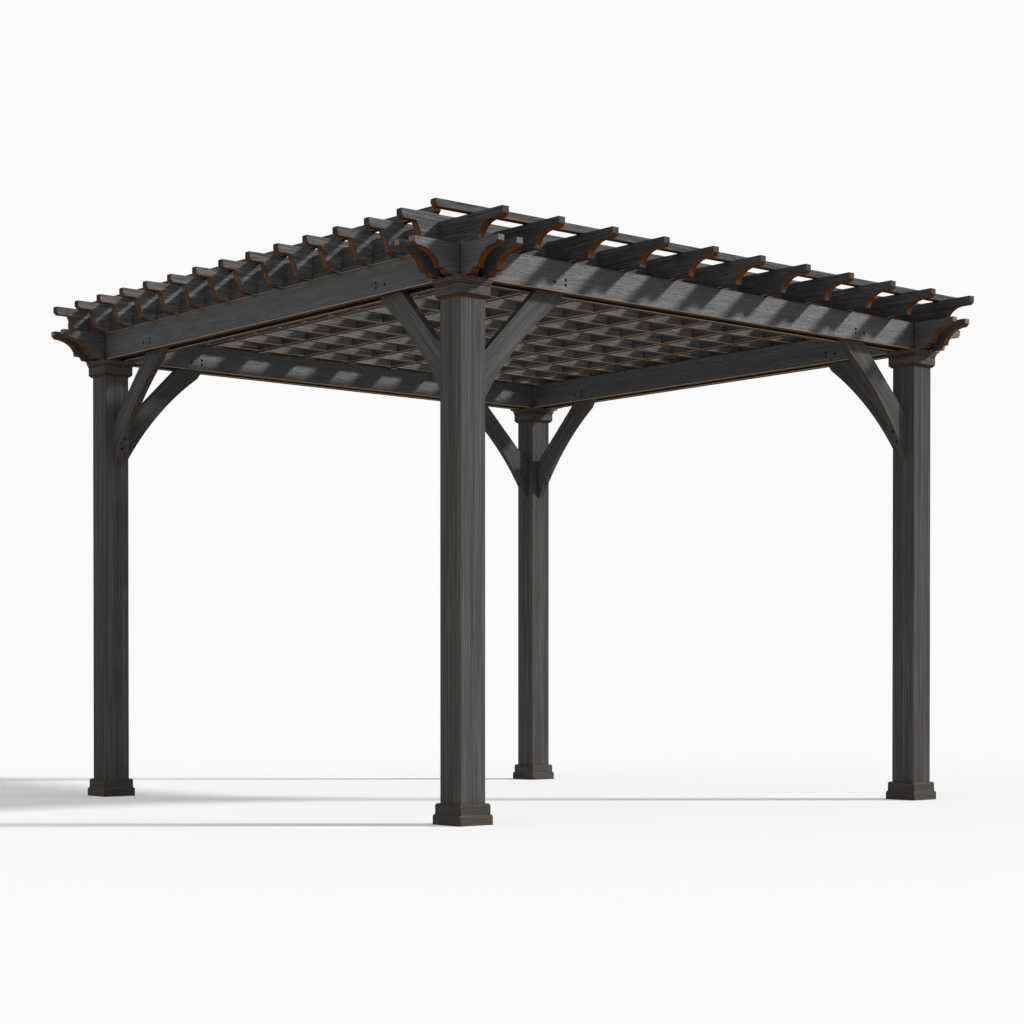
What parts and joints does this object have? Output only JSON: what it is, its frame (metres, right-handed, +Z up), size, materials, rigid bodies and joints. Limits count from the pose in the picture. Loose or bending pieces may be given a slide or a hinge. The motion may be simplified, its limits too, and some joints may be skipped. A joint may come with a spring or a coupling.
{
  "type": "wooden pergola",
  "caption": "Free-standing timber pergola: square posts on stepped bases, double beams, arched knee braces and an open half-lapped grid of coved rafters and deeper purlins with sloped tails.",
  "frame": {"origin": "on the ground at the middle of the plan", "axes": "+Z up; X along the front and rear sides, Y along the left and right sides; the front faces -Y"},
  "size_m": [3.688, 3.748, 2.686],
  "materials": {
    "post_timber": "charcoal stain, sawn grain, worn brown at the arrises",
    "trim_timber": "charcoal stain, sawn grain, worn brown at the arrises",
    "brace_timber": "charcoal stain, sawn grain, worn brown at the arrises",
    "beam_timber": "charcoal stain, sawn grain, worn brown at the arrises",
    "board_timber": "charcoal stain, sawn grain, worn brown at the arrises"
  },
  "bodies": {
    "root": {"brace_packers": "brace_timber", "capital_front_left": "trim_timber", "capital_front_right": "trim_timber", "capital_rear_left": "trim_timber", "capital_rear_right": "trim_timber", "front_inner_beam": "beam_timber", "front_outer_beam": "beam_timber", "front_purlins": "board_timber", "front_slat": "board_timber", "knee_brace_front_left_x": "brace_timber", "knee_brace_front_left_y": "brace_timber", "knee_brace_front_right_x": "brace_timber", "knee_brace_front_right_y": "brace_timber", "knee_brace_rear_left_x": "brace_timber", "knee_brace_rear_left_y": "brace_timber", "knee_brace_rear_right_x": "brace_timber", "knee_brace_rear_right_y": "brace_timber", "left_inner_beam": "beam_timber", "left_outer_beam": "beam_timber", "left_slat": "board_timber", "middle_purlins": "board_timber", "post_base_front_left": "trim_timber", "post_base_front_right": "trim_timber", "post_base_rear_left": "trim_timber", "post_base_rear_right": "trim_timber", "post_front_left": "post_timber", "post_front_right": "post_timber", "post_rear_left": "post_timber", "post_rear_right": "post_timber", "rafter_01": "board_timber", "rafter_02": "board_timber", "rafter_03": "board_timber", "rafter_04": "board_timber", "rafter_05": "board_timber", "rafter_06": "board_timber", "rafter_07": "board_timber", "rafter_08": "board_timber", "rafter_09": "board_timber", "rafter_10": "board_timber", "rafter_11": "board_timber", "rear_inner_beam": "beam_timber", "rear_outer_beam": "beam_timber", "rear_purlins": "board_timber", "right_inner_beam": "beam_timber", "right_outer_beam": "beam_timber", "right_slat": "board_timber"}
  },
  "joints": []
}
